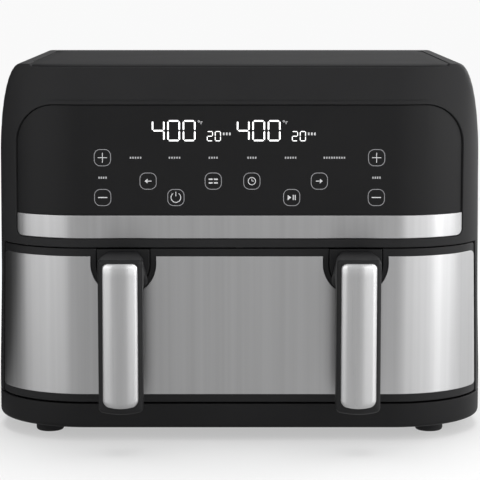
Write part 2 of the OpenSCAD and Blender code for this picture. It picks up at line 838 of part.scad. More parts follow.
fan_shaft(-1);  // fan_shaft_left
fan_shaft(1);  // fan_shaft_right
convection_fan(-1);  // convection_fan_left
convection_fan(1);  // convection_fan_right
cooling_fan(-1);  // cooling_fan_left
cooling_fan(1);  // cooling_fan_right
switch_plunger();
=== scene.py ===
"""Looks of the wide air fryer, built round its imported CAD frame. Metres, +X right, +Y back, +Z up."""
import math

import bmesh
import bpy
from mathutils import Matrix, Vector


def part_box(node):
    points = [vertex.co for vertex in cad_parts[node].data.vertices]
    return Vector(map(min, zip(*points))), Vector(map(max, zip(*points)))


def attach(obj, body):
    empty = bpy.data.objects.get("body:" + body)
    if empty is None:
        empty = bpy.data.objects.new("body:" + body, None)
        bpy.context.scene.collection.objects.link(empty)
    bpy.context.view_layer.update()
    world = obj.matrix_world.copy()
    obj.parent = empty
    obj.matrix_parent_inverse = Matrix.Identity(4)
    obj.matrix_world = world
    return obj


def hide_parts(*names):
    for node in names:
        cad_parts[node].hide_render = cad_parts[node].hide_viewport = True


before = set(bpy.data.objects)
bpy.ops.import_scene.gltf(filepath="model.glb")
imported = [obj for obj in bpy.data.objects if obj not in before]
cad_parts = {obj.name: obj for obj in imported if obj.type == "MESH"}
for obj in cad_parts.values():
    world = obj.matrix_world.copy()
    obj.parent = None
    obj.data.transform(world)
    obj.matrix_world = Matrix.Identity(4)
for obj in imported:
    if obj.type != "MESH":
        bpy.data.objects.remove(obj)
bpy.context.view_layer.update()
MM = 0.001
X, Y, Z = 0, 1, 2


# ---------------------------------------------------------------- sizes, from the frame
def low(node):
    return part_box(node)[0]


def high(node):
    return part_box(node)[1]


FRONT = low("steel_front").y
BACK = high("rear_cover").y
HALF = high("base_tray").x
TOP = high("top_cover").z
# In plan the front is flat, then turns with a big radius, then with a small one into the side
CORNER = 79 * MM
FLAT = HALF - CORNER
FILLET = 14 * MM
FILLET_LEAST = 3 * MM
FILLET_FALL = 1.7
# Seen from the front the side leans in above the flare, then rounds over as a superellipse
FLARE_Z = 36 * MM
SHOULDER_Z = 225 * MM
SHOULDER_X = 180 * MM
SHOULDER_IN = 5 * MM
POWER = 2 / 2.1
DRAWER_FLARE = 0.12
# How far the lines between base, drawer and bezel lie from the CAD's edges
PARTING = 0.9 * MM
BEZEL_BACK = high("front_bezel").y
BASE_Z0 = low("base_tray").z
BASE_Z1 = high("base_tray").z - PARTING
LEDGE_Z = high("drawer_front").z + PARTING
COVER_HALF = high("top_cover").x
PANEL_HALF = high("control_panel").x
PANEL_Z0, PANEL_Z1 = low("control_panel").z, high("control_panel").z
STRIP_Z0, STRIP_Z1 = low("trim_strip").z, high("trim_strip").z
PANEL_DEPTH = 1.5 * MM
PANEL_R = 33.5 * MM
DRAWER_HALF = 198 * MM
DRAWER_Z0, DRAWER_Z1 = low("drawer_front").z - PARTING, high("drawer_front").z
STEEL_HALF = 196.8 * MM
STEEL_Z0, STEEL_Z1 = low("steel_front").z, high("steel_front").z
HANDLE_X = (low("handle_core_right").x + high("handle_core_right").x) / 2
NOTCH_HALF = 26.8 * MM
NOTCH_Z = 148.5 * MM
INSERT_HALF = (high("handle_core_right").x - low("handle_core_right").x) / 2
INSERT_Z = 147.5 * MM


def half_width(z):
    """Half the body's width at height z: a slight flare below, the soft shoulder above."""
    if z <= FLARE_Z:
        return HALF
    if z <= SHOULDER_Z:
        return HALF - SHOULDER_IN * (z - FLARE_Z) / (SHOULDER_Z - FLARE_Z)
    if z > TOP:
        return SHOULDER_X - (z - TOP)
    rise = (z - SHOULDER_Z) / (TOP - SHOULDER_Z)
    sine = rise ** (1 / POWER)
    cosine = math.sqrt(max(0.0, 1 - sine * sine))
    return SHOULDER_X + (HALF - SHOULDER_IN - SHOULDER_X) * cosine ** POWER


def flare(outline):
    """Widens an outline of the drawer downwards, like the body."""
    return [(x * (1 + DRAWER_FLARE * (DRAWER_Z1 - z)), z) for x, z in outline]


def along(x):
    """Distance along the front's curve from the middle to the place x."""
    side = math.copysign(1, x)
    x = abs(x)
    if x <= FLAT:
        return side * x
    return side * (FLAT + CORNER * math.asin(min(1.0, (x - FLAT) / CORNER)))


def fillet(z):
    """Radius between the big corner and the side: smaller over the top, beyond TOP."""
    return FILLET if z <= TOP else max(FILLET_LEAST, FILLET - FILLET_FALL * (z - TOP))


def side_start(z):
    """Angle where the big corner ends, and the path length where the flat side starts."""
    small = fillet(z)
    reach = min(CORNER - small, half_width(z) - small - FLAT)
    angle = math.asin(reach / (CORNER - small))
    return angle, FLAT + CORNER * angle + small * (math.pi / 2 - angle)


def side_depth(z):
    """Depth behind the front face at which the side starts."""
    angle, _ = side_start(z)
    return CORNER - (CORNER - fillet(z)) * math.cos(angle)


def wrap(p):
    """Takes (path, depth, height) to the body's curved front and sides, and inwards past TOP."""
    path, depth, z = p
    side = math.copysign(1, path)
    path = abs(path)
    if path <= FLAT:
        return Vector((side * path, FRONT + depth, z))
    angle, start = side_start(z)
    small = fillet(z)
    height = z
    if z > TOP:
        height = TOP - depth
        depth = 0
    run = path - FLAT
    if run <= CORNER * angle:
        turn = run / CORNER
        x = FLAT + (CORNER - depth) * math.sin(turn)
        y = CORNER - (CORNER - depth) * math.cos(turn)
    elif path <= start:
        turn = angle + (run - CORNER * angle) / small
        x = half_width(z) - small + (small - depth) * math.sin(turn)
        y = side_depth(z) - (small - depth) * math.cos(turn)
    else:
        x = half_width(z) - depth
        y = side_depth(z) + path - start
    return Vector((side * x, FRONT + y, height))


# ---------------------------------------------------------------- materials
NOISE_LOW, NOISE_HIGH = 0.3, 0.7


def shader(name, base, rough, metallic=0.0, specular=0.5):
    """A new material and its shader, with one value for each of the basic sockets."""
    mat = bpy.data.materials.new(name)
    mat.use_nodes = True
    bsdf = mat.node_tree.nodes["Principled BSDF"]
    bsdf.inputs["Base Color"].default_value = (*base, 1)
    bsdf.inputs["Roughness"].default_value = rough
    bsdf.inputs["Metallic"].default_value = metallic
    bsdf.inputs["Specular IOR Level"].default_value = specular
    return mat, bsdf


def noise(mat, size, stretch=(1, 1, 1), detail=3.0):
    """Noise whose grain measures about size, stretched along each axis."""
    nodes, links = mat.node_tree.nodes, mat.node_tree.links
    place = nodes.new("ShaderNodeTexCoord")
    scale = nodes.new("ShaderNodeMapping")
    scale.inputs["Scale"].default_value = tuple(1 / (size * s) for s in stretch)
    tex = nodes.new("ShaderNodeTexNoise")
    tex.inputs["Scale"].default_value = 1.0
    tex.inputs["Detail"].default_value = detail
    links.new(place.outputs["Object"], scale.inputs["Vector"])
    links.new(scale.outputs["Vector"], tex.inputs["Vector"])
    return tex


def vary(mat, tex, socket, lowest, highest):
    """Drives one of the shader's sockets between two values, or two colours, from a noise."""
    nodes, links = mat.node_tree.nodes, mat.node_tree.links
    bsdf = nodes["Principled BSDF"]
    if isinstance(lowest, tuple):
        ramp = nodes.new("ShaderNodeValToRGB")
        ramp.color_ramp.elements[0].position = NOISE_LOW
        ramp.color_ramp.elements[1].position = NOISE_HIGH
        ramp.color_ramp.elements[0].color = (*lowest, 1)
        ramp.color_ramp.elements[1].color = (*highest, 1)
        links.new(tex.outputs["Fac"], ramp.inputs["Fac"])
        links.new(ramp.outputs["Color"], bsdf.inputs[socket])
        return
    span = nodes.new("ShaderNodeMapRange")
    span.inputs["From Min"].default_value = NOISE_LOW
    span.inputs["From Max"].default_value = NOISE_HIGH
    span.inputs["To Min"].default_value = lowest
    span.inputs["To Max"].default_value = highest
    links.new(tex.outputs["Fac"], span.inputs["Value"])
    links.new(span.outputs["Result"], bsdf.inputs[socket])


def emboss(mat, tex, strength, distance):
    """Fine relief from a noise; strength runs from 0 to 1 and distance is the relief's height."""
    nodes, links = mat.node_tree.nodes, mat.node_tree.links
    bump = nodes.new("ShaderNodeBump")
    bump.inputs["Strength"].default_value = strength
    bump.inputs["Distance"].default_value = distance
    links.new(tex.outputs["Fac"], bump.inputs["Height"])
    links.new(bump.outputs["Normal"], nodes["Principled BSDF"].inputs["Normal"])


def moulded(name, tone, rough, grain, strength, specular=0.4):
    """Moulded plastic: a fine spark texture, with slight changes of tone and gloss."""
    mat, _ = shader(name, tone, rough, 0, specular)
    soft = noise(mat, 40 * MM, detail=4)
    vary(mat, soft, "Base Color", tuple(c * 0.95 for c in tone), tuple(c * 1.05 for c in tone))
    vary(mat, soft, "Roughness", rough - 0.012, rough + 0.012)
    emboss(mat, noise(mat, grain), strength, 0.04 * MM)
    return mat


def brushed(name, tone, rough, stretch, strength):
    """Brushed sheet: hairlines along one axis that change tone, gloss and relief."""
    mat, _ = shader(name, tone, rough, 1.0)
    lines = noise(mat, 0.35 * MM, stretch, 5)
    bands = noise(mat, 5 * MM, stretch, 3)
    vary(mat, bands, "Base Color", tuple(c * 0.95 for c in tone), tuple(c * 1.04 for c in tone))
    vary(mat, lines, "Roughness", rough - 0.05, rough + 0.06)
    emboss(mat, lines, strength, 0.02 * MM)
    return mat


def drawn(mat, amount):
    """Stretches a sheet's highlights upwards, as fine level brushing does."""
    nodes, links = mat.node_tree.nodes, mat.node_tree.links
    around = nodes.new("ShaderNodeTangent")
    around.direction_type = "RADIAL"
    around.axis = "Z"
    bsdf = nodes["Principled BSDF"]
    bsdf.inputs["Anisotropic"].default_value = amount
    bsdf.inputs["Anisotropic Rotation"].default_value = 0.25
    links.new(around.outputs["Tangent"], bsdf.inputs["Tangent"])
    return mat


def speckled(name, tone, fleck, rough):
    """Coating: dark and low in sheen, with fine lighter flecks and a faint orange peel."""
    mat, _ = shader(name, tone, rough, 0, 0.4)
    vary(mat, noise(mat, 0.7 * MM, detail=6), "Base Color", tone, fleck)
    vary(mat, noise(mat, 25 * MM), "Roughness", rough - 0.05, rough + 0.06)
    emboss(mat, noise(mat, 2.2 * MM), 0.3, 0.05 * MM)
    return mat


def glowing(name, tone, strength):
    """Lit figures of the display."""
    mat, bsdf = shader(name, tone, 0.4)
    glow = noise(mat, 6 * MM)
    vary(mat, glow, "Base Color", tuple(c * 0.95 for c in tone), tone)
    bsdf.inputs["Emission Color"].default_value = (*tone, 1)
    bsdf.inputs["Emission Strength"].default_value = strength
    return mat


# How a brushed sheet's hairlines are stretched along each axis
UPRIGHT = (1, 1, 160)
ACROSS = (160, 1, 1)
DEEP = (1, 160, 1)
# Moulded: name, tone, roughness, grain, relief and shine. Brushed: direction and relief at the end
MAT = {
    "shell": moulded("shell_black", (0.0168, 0.0168, 0.0175), 0.54, 0.5 * MM, 0.35, 0.14),
    "base": moulded("base_black", (0.0118, 0.0118, 0.0123), 0.54, 0.5 * MM, 0.35, 0.12),
    "cover": moulded("cover_black", (0.0095, 0.0095, 0.0100), 0.56, 0.5 * MM, 0.35, 0.08),
    "drawer": moulded("drawer_black", (0.0105, 0.0105, 0.0112), 0.46, 0.45 * MM, 0.25, 0.22),
    "panel": moulded("panel_satin_black", (0.0080, 0.0080, 0.0085), 0.42, 3 * MM, 0.04, 0.18),
    "steel": drawn(brushed("steel_brushed", (0.59, 0.59, 0.595), 0.33, UPRIGHT, 0.1), 0.75),
    "grip": drawn(brushed("grip_steel", (0.69, 0.69, 0.695), 0.32, UPRIGHT, 0.10), 0.7),
    "rubber": moulded("rubber_black", (0.012, 0.012, 0.013), 0.75, 0.8 * MM, 0.4, 0.3),
    "sheet": brushed("sheet_aluminised", (0.60, 0.61, 0.62), 0.38, DEEP, 0.2),
    "heater": speckled("heater_sheath", (0.10, 0.075, 0.060), (0.17, 0.15, 0.14), 0.55),
    "wire_steel": brushed("guard_bright", (0.66, 0.67, 0.68), 0.24, ACROSS, 0.1),
    "motor": brushed("motor_can", (0.42, 0.43, 0.45), 0.40, UPRIGHT, 0.15),
    "shaft": brushed("shaft_ground", (0.66, 0.67, 0.68), 0.22, ACROSS, 0.08),
    "fan": brushed("fan_sheet", (0.60, 0.61, 0.62), 0.36, ACROSS, 0.15),
    "black_inner": moulded("inner_black", (0.020, 0.020, 0.022), 0.45, 0.8 * MM, 0.3),
    "board": moulded("board_green", (0.020, 0.095, 0.040), 0.35, 0.6 * MM, 0.25, 0.5),
    "contact": brushed("contact_plated", (0.70, 0.53, 0.27), 0.30, UPRIGHT, 0.1),
    "sheath": moulded("wire_sheath", (0.50, 0.50, 0.49), 0.55, 1 * MM, 0.3),
    "ceramic": moulded("ceramic_white", (0.72, 0.69, 0.62), 0.62, 0.6 * MM, 0.4),
    "screw": brushed("screw_zinc", (0.38, 0.39, 0.41), 0.35, ACROSS, 0.15),
    "coating": speckled("coating_nonstick", (0.016, 0.016, 0.0175), (0.034, 0.034, 0.036), 0.44),
    "silicone": moulded("silicone_grey", (0.045, 0.045, 0.049), 0.62, 1.2 * MM, 0.3, 0.35),
    "plunger": moulded("plunger_red", (0.42, 0.045, 0.035), 0.40, 0.6 * MM, 0.2),
    "glow": glowing("display_glow", (1.0, 1.0, 1.0), 1.0),
    "glow_small": glowing("display_glow_small", (1.0, 1.0, 1.0), 0.75),
    "print": moulded("print_grey", (0.26, 0.26, 0.27), 0.55, 0.4 * MM, 0.1),
    "print_label": moulded("print_label", (0.40, 0.40, 0.41), 0.55, 0.4 * MM, 0.1),
    "print_bright": moulded("print_white", (0.62, 0.62, 0.63), 0.55, 0.4 * MM, 0.1),
}


# ---------------------------------------------------------------- mesh helpers
def rounded(x0, z0, x1, z1, top, bottom, steps=14):
    """Rectangle with its own corner radius at the top and at the bottom, anticlockwise."""
    corners = ((x1 - bottom, z0 + bottom, bottom, -90), (x1 - top, z1 - top, top, 0),
               (x0 + top, z1 - top, top, 90), (x0 + bottom, z0 + bottom, bottom, 180))
    points = []
    for cx, cz, r, first in corners:
        count = steps if r > 0 else 0
        for k in range(count + 1):
            a = math.radians(first + (90 * k / count if count else 0))
            points.append((cx + r * math.cos(a), cz + r * math.sin(a)))
    return points


def arch(x, half, z, top):
    """Outline of a notch: square at the top and round at the bottom, anticlockwise."""
    steps = 28
    arc = [math.pi + math.pi * k / steps for k in range(steps + 1)]
    return ([(x + half, top), (x - half, top)] +
            [(x + half * math.cos(a), z + half * math.sin(a)) for a in arc])


def tidy(bm, name):
    """Makes a new object of a bmesh: doubles merged, normals outwards."""
    bmesh.ops.remove_doubles(bm, verts=bm.verts[:], dist=0.002 * MM)
    bmesh.ops.recalc_face_normals(bm, faces=bm.faces[:])
    mesh = bpy.data.meshes.new(name)
    bm.to_mesh(mesh)
    bm.free()
    obj = bpy.data.objects.new(name, mesh)
    bpy.context.scene.collection.objects.link(obj)
    return obj


def extrusion(name, points, way):
    """A flat outline pushed out along a vector."""
    bm = bmesh.new()
    face = bm.faces.new([bm.verts.new(p) for p in points])
    moved = bmesh.ops.extrude_face_region(bm, geom=[face])["geom"]
    ends = [v for v in moved if isinstance(v, bmesh.types.BMVert)]
    bmesh.ops.translate(bm, verts=ends, vec=way)
    return tidy(bm, name)


def prism(name, outline, y0, y1):
    """An outline in X and Z made solid from y0 to y1."""
    return extrusion(name, [(x, y0, z) for x, z in outline], (0, y1 - y0, 0))


def skin(bm, rings):
    """Faces from each closed ring of vertices to the next."""
    for a, b in zip(rings, rings[1:]):
        for k in range(len(a)):
            n = (k + 1) % len(a)
            bm.faces.new((a[k], a[n], b[n], b[k]))


def bake(obj):
    """Replaces an object's mesh with what its modifiers make of it."""
    graph = bpy.context.evaluated_depsgraph_get()
    mesh = bpy.data.meshes.new_from_object(obj.evaluated_get(graph))
    obj.modifiers.clear()
    obj.data = mesh


def cut(obj, cutter):
    """Takes a cutter out of an object, and deletes the cutter."""
    mod = obj.modifiers.new("cut", "BOOLEAN")
    mod.operation = "DIFFERENCE"
    mod.solver = "EXACT"
    mod.object = cutter
    bake(obj)
    bpy.data.objects.remove(cutter)


def round_edges(obj, width, segments=3, angle=32):
    """Rounds every edge that turns by more than the angle, in degrees."""
    mod = obj.modifiers.new("edges", "BEVEL")
    mod.width = width
    mod.segments = segments
    mod.limit_method = "ANGLE"
    mod.angle_limit = math.radians(angle)
    bake(obj)


def slice_mesh(obj, places, axis):
    """Cuts an object's faces at each place along an axis, so that it can be bent there."""
    bm = bmesh.new()
    bm.from_mesh(obj.data)
    normal = Vector((0, 0, 0))
    normal[axis] = 1
    for place in places:
        bmesh.ops.bisect_plane(bm, geom=bm.verts[:] + bm.edges[:] + bm.faces[:], dist=0.001 * MM,
                               plane_co=normal * place, plane_no=normal)
    bm.to_mesh(obj.data)
    bm.free()


def shape(obj, rule):
    """Moves each vertex to where the rule sends it."""
    for v in obj.data.vertices:
        v.co = rule(v.co)
    obj.data.update()


def ease(t):
    """Smooth step from 0 to 1."""
    t = max(0.0, min(1.0, t))
    return t * t * (3 - 2 * t)


def smooth(obj, angle=34, weighted=True):
    """Smooth shading, sharp over the angle in degrees."""
    obj.data.shade_smooth()
    obj.data.set_sharp_from_angle(angle=math.radians(angle))
    if weighted:
        mod = obj.modifiers.new("normals", "WEIGHTED_NORMAL")
        mod.keep_sharp = True


def finish_piece(obj, material, body, slot, *nodes):
    """Gives a piece its material and body, and hides the CAD nodes that it stands for. The slot is not
    used.
    """
    obj.data.materials.clear()
    obj.data.materials.append(MAT[material])
    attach(obj, body)
    if nodes:
        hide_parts(*nodes)


def join(name, parts):
    """Joins meshes into the first one."""
    bm = bmesh.new()
    for part in parts:
        bm.from_mesh(part.data)
        if part is not parts[0]:
            bpy.data.objects.remove(part)
    bm.to_mesh(parts[0].data)
    bm.free()
    parts[0].name = name
    return parts[0]


# Where a flat tile is cut so that it bends smoothly round the big corner
BEND_CUTS = [side * (FLAT + CORNER * math.radians(90) * k / 30)
             for side in (-1, 1) for k in range(31)]


def front_tile(name, outline, depth0, depth1, edge, holes=()):
    """A tile that follows the curved front: cut and rounded while flat, then bent."""
    flat = [(along(x), z) for x, z in outline]
    obj = prism(name, flat, depth0, depth1)
    for hole in holes:
        cut(obj, prism("hole", [(along(x), z) for x, z in hole], depth0 - MM, depth1 + MM))
    round_edges(obj, edge)
    slice_mesh(obj, BEND_CUTS, X)
    shape(obj, wrap)
    smooth(obj)
    return obj


def soften(node, width, material):
    """Gives a CAD node rounded edges and smooth curves, by modifiers alone."""
    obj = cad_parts[node]
    obj.data.materials.clear()
    obj.data.materials.append(MAT[material])
    if width:
        weld = obj.modifiers.new("weld", "WELD")
        weld.merge_threshold = 0.004 * MM
        flats = obj.modifiers.new("flats", "DECIMATE")
        flats.decimate_type = "DISSOLVE"
        flats.angle_limit = math.radians(0.6)
        edges = obj.modifiers.new("edges", "BEVEL")
        edges.width = width
        edges.segments = 2
        edges.limit_method = "ANGLE"
        edges.angle_limit = math.radians(34)
        normals = obj.modifiers.new("normals", "WEIGHTED_NORMAL")
        normals.keep_sharp = True


# ---------------------------------------------------------------- front bezel
def bezel_edge(z):
    """Path length at which the bezel ends on the side, at height z."""
    angle, start = side_start(z)
    reach = BEZEL_BACK - FRONT
    if reach >= side_depth(z):
        return start + reach - side_depth(z)
    turn = math.acos((side_depth(z) - reach) / fillet(z))
    return FLAT + CORNER * angle + fillet(z) * (turn - angle)


def make_bezel():
    """The one-piece shell round the panel and the drawer, with what backs it."""
    groove_z = PANEL_Z1 + 3.1 * MM
    groove_half = 2.1 * MM
    groove_deep = 0.6 * MM

    def groove(v):
        """A shallow soft groove over the window, which fades out towards its corners."""
        if v.y > 0.5 * MM or abs(v.z - groove_z) > groove_half:
            return v
        fade = ease((160 * MM - abs(v.x)) / (16 * MM))
        wave = 1 + math.cos(math.pi * (v.z - groove_z) / groove_half)
        return v + Vector((0, groove_deep * fade * wave / 2, 0))

    gap = 0.4 * MM
    crease = low("top_cover").z - gap
    brim = TOP + SHOULDER_X - COVER_HALF - gap
    post_z0 = BASE_Z1 + 0.6 * MM
    over_top = [TOP + 2 * MM, TOP + 4 * MM]
    heights = [post_z0 + (TOP - post_z0) * k / 40 for k in range(41)] + over_top + [brim]
    post = flare([(DRAWER_HALF + 0.5 * MM, LEDGE_Z), (DRAWER_HALF + 0.5 * MM, post_z0)])
    right = [(0, LEDGE_Z)] + [(along(x), z) for x, z in post]
    right += [(bezel_edge(z), z) for z in heights]
    right += [(side_start(brim)[1] + 1 * MM, brim)]
    right += [(along(COVER_HALF - 2 * MM), crease), (0, crease)]
    left = [(-s, z) for s, z in reversed(right)]
    outline = right + left[1:-1]
    obj = prism("bezel_shell", outline, 0, 3 * MM)
    window = rounded(-PANEL_HALF - 0.55 * MM, STRIP_Z0 - 0.45 * MM, PANEL_HALF + 0.55 * MM,
                     PANEL_Z1 + 0.6 * MM, PANEL_R + 0.5 * MM, 5.5 * MM, 18)
    cut(obj, prism("hole", [(along(x), z) for x, z in window], -MM, 4 * MM))
    round_edges(obj, 0.6 * MM)
    slice_mesh(obj, BEND_CUTS + [s * (FLAT + CORNER * math.pi / 2 + k * 4 * MM)
                                 for s in (-1, 1) for k in range(1, 6)], X)
    slice_mesh(obj, [SHOULDER_Z + (TOP - SHOULDER_Z) * math.sin(math.radians(3 * k)) ** POWER
                     for k in range(31)] + over_top, Z)
    slice_mesh(obj, [groove_z + 0.5 * MM * k for k in range(-4, 5)], Z)
    shape(obj, groove)
    shape(obj, wrap)
    # The rim that the panel lies on
    rim = rounded(-PANEL_HALF - 5 * MM, STRIP_Z0 - 4 * MM, PANEL_HALF + 5 * MM, PANEL_Z1 + 5 * MM,
                  PANEL_R + 4 * MM, 6 * MM)
    hole = rounded(-PANEL_HALF + 12 * MM, STRIP_Z0 + 14 * MM, PANEL_HALF - 12 * MM,
                   PANEL_Z1 - 10 * MM, PANEL_R - 12 * MM, 4 * MM)
    backing = front_tile("backing", rim, 3.5 * MM, 6 * MM, 0.4 * MM, [hole])
    backing.modifiers.clear()
    # The lintel over the drawer, set back behind the shell
    inner = CORNER - 2.9 * MM
    arc = [math.radians(3 * k) for k in range(21)]
    right = [(FLAT + inner * math.sin(a), FRONT + CORNER - inner * math.cos(a)) for a in arc]
    plan = right + [(-x, y) for x, y in reversed(right)]
    lintel = extrusion("lintel", [(x, y, LEDGE_Z) for x, y in plan], (0, 0, 3 * MM))
    obj = join("front_bezel_shell", [obj, backing, lintel])
    smooth(obj)
    finish_piece(obj, "shell", "housing", "shell", "front_bezel")


make_bezel()


# ---------------------------------------------------------------- control panel and trim strip
panel = front_tile("touch_panel", rounded(-PANEL_HALF, PANEL_Z0, PANEL_HALF, PANEL_Z1, PANEL_R, 0),
                   PANEL_DEPTH, PANEL_DEPTH + 2 * MM, 0.35 * MM)
finish_piece(panel, "panel", "housing", "panel_gloss", "control_panel")
strip = front_tile("trim_strip_steel",
                   rounded(-PANEL_HALF, STRIP_Z0, PANEL_HALF, STRIP_Z1, 0, 5 * MM),
                   0.2 * MM, 3.3 * MM, 0.7 * MM)
finish_piece(strip, "steel", "housing", "steel", "trim_strip")


# ---------------------------------------------------------------- drawer front
def make_drawer_front():
    """The black frame with the handles' pockets, and the steel sheet over it."""
    past = 9 * MM
    pockets = [arch(s * HANDLE_X, INSERT_HALF + 0.55 * MM, INSERT_Z, DRAWER_Z1 + past)
               for s in (-1, 1)]
    outline = flare(rounded(-DRAWER_HALF, DRAWER_Z0, DRAWER_HALF, DRAWER_Z1, 2 * MM, 2 * MM))
    edge = front_tile("drawer_frame", outline, 0.9 * MM, 5 * MM, 0.9 * MM, pockets)
    backs = []
    for s in (-1, 1):
        shut = arch(s * HANDLE_X, INSERT_HALF + 2 * MM, INSERT_Z, DRAWER_Z1 - 0.6 * MM)
        backs.append(prism("pocket_back", shut, FRONT + 3 * MM, FRONT + 4.8 * MM))
    frame_piece = join("drawer_frame", [edge] + backs)
    finish_piece(frame_piece, "drawer", "drawer", "drawer_black", "drawer_front")
    notches = [arch(s * HANDLE_X, NOTCH_HALF, NOTCH_Z, STEEL_Z1 + past) for s in (-1, 1)]
    outline = flare(rounded(-STEEL_HALF, STEEL_Z0, STEEL_HALF, STEEL_Z1, 3.5 * MM, 2.5 * MM))
    sheet = front_tile("drawer_steel", outline, 0, 1.2 * MM, 0.45 * MM, notches)
    finish_piece(sheet, "steel", "drawer", "steel", "steel_front")


make_drawer_front()


# ---------------------------------------------------------------- handles
GRIP_FRONT = low("handle_grip_right").y
GRIP_BACK = high("handle_grip_right").y
GRIP_HALF = (high("handle_grip_right").x - low("handle_grip_right").x) / 2
GRIP_Z0, GRIP_Z1 = low("handle_grip_right").z, high("handle_grip_right").z
CORE_HALF = 17.9 * MM
CORE_FRONT = low("handle_core_right").y
CORE_Z0, CORE_Z1 = low("handle_core_right").z, high("handle_core_right").z
CORE_THICK = 22 * MM
ARM_Z0 = 126 * MM
# How far the foot hangs lower in its middle, and how far the edges stand behind the middle
DROOP = 2.1 * MM
BOW = 2.6 * MM


def make_handle(side, name):
    """A handle's black core: an arm out of the drawer that turns down, with a hollow behind it."""
    x0 = side * HANDLE_X
    back = CORE_FRONT + CORE_THICK
    hollow = 14 * MM
    root_y = FRONT + 1.5 * MM
    arc = [math.radians(180 - 7.5 * k) for k in range(13)]
    outline = [(root_y, CORE_Z1 - 1 * MM), (CORE_FRONT, CORE_Z1 - 2.2 * MM)]
    outline += [(CORE_FRONT, CORE_Z0), (back, CORE_Z0)]
    outline += [(back + hollow + hollow * math.cos(a), ARM_Z0 + hollow * math.sin(a)) for a in arc]
    outline += [(root_y, ARM_Z0 + 2 * MM)]
    core = extrusion("core", [(-CORE_HALF, y, z) for y, z in outline], (2 * CORE_HALF, 0, 0))
    round_edges(core, 3.2 * MM, 5, 40)
    slice_mesh(core, [back + 2.5 * MM * k for k in range(-3, 13)], Y)
    slice_mesh(core, [4 * MM * k for k in range(30, 40)], Z)
    slice_mesh(core, [4 * MM * k for k in range(-3, 4)], X)

    def splay(v):
        """Narrows the arm's top near the drawer, widens its root, and bows the face and foot."""
        near = ease((v.y - back + 4 * MM) / (FRONT - back))
        top = ease((v.z - 146 * MM) / (12 * MM))
        root = ease((148 * MM - v.z) / (12 * MM))
        grow = 1 + near * (0.12 * root - 0.26 * top)
        across = v.x / CORE_HALF
        bow = BOW * across ** 2 * ease((CORE_FRONT + 9 * MM - v.y) / (9 * MM))
        rise = 0.0
        if v.z < CORE_Z0 + 4 * MM:
            rise = 1.2 * MM - DROOP * (1 - across ** 2)
        return Vector((x0 + v.x * grow, v.y + bow, v.z + rise))

    shape(core, splay)
    insert = prism("insert", arch(x0, INSERT_HALF, INSERT_Z, CORE_Z1),
                   FRONT + 0.5 * MM, FRONT + 2.4 * MM)
    round_edges(insert, 0.8 * MM)
    core = join("handle_core_" + name, [core, insert])
    smooth(core, 40)
    finish_piece(core, "drawer", "drawer", "drawer_black", "handle_core_" + name)

    make_grip(x0, name)


def make_grip(x0, name):
    """Steel face of a handle: a pillow with softly rolled edges, bowed across and at its foot."""
    roll, rise = 4.2 * MM, 1.7 * MM
    corner = 4.6 * MM
    z0, z1 = GRIP_Z0 + 2 * MM, GRIP_Z1 - 0.3 * MM
    turns = [math.radians(90 * k / 8) for k in range(9)]
    levels = [(0, GRIP_BACK)]
    levels += [(roll * (1 - math.cos(a)), GRIP_FRONT + rise * (1 - math.sin(a))) for a in turns]
    bm = bmesh.new()
    loops = []
    for inset, y in levels:
        ring = rounded(inset - GRIP_HALF, z0 + inset, GRIP_HALF - inset, z1 - inset,
                       corner - inset, corner - inset, 10)
        loops.append([bm.verts.new((x, y, z)) for x, z in ring])
    skin(bm, loops)
    bm.faces.new(loops[0])
    bm.faces.new(loops[-1])
    grip = tidy(bm, "handle_grip_" + name + "_steel")
    slice_mesh(grip, [GRIP_HALF * k / 8 for k in range(-7, 8)], X)
    slice_mesh(grip, [z0 + 4 * MM * k for k in range(1, 6)], Z)
    slice_mesh(grip, [z1 - 1.5 * MM * k for k in range(2, 8)], Z)

    def crown(v):
        """Bows the back with the core and the face a little more, and leans the face's top back."""
        across = v.x / GRIP_HALF
        crest = 0.6 * MM
        droop = DROOP * (1 - across ** 2) * ease((z0 + 16 * MM - v.z) / (16 * MM))
        if v.y > GRIP_BACK - 0.2 * MM:
            bow = BOW * (v.x / CORE_HALF) ** 2
        else:
            bow = (BOW + crest) * across ** 2 - crest
            bow += 0.5 * MM * ease((v.z - z1 + 9 * MM) / (9 * MM))
        return Vector((x0 + v.x, v.y + bow, v.z - droop))

    shape(grip, crown)
    smooth(grip, 60, False)
    finish_piece(grip, "grip", "drawer", "steel", "handle_grip_" + name)


make_handle(-1, "left")
make_handle(1, "right")


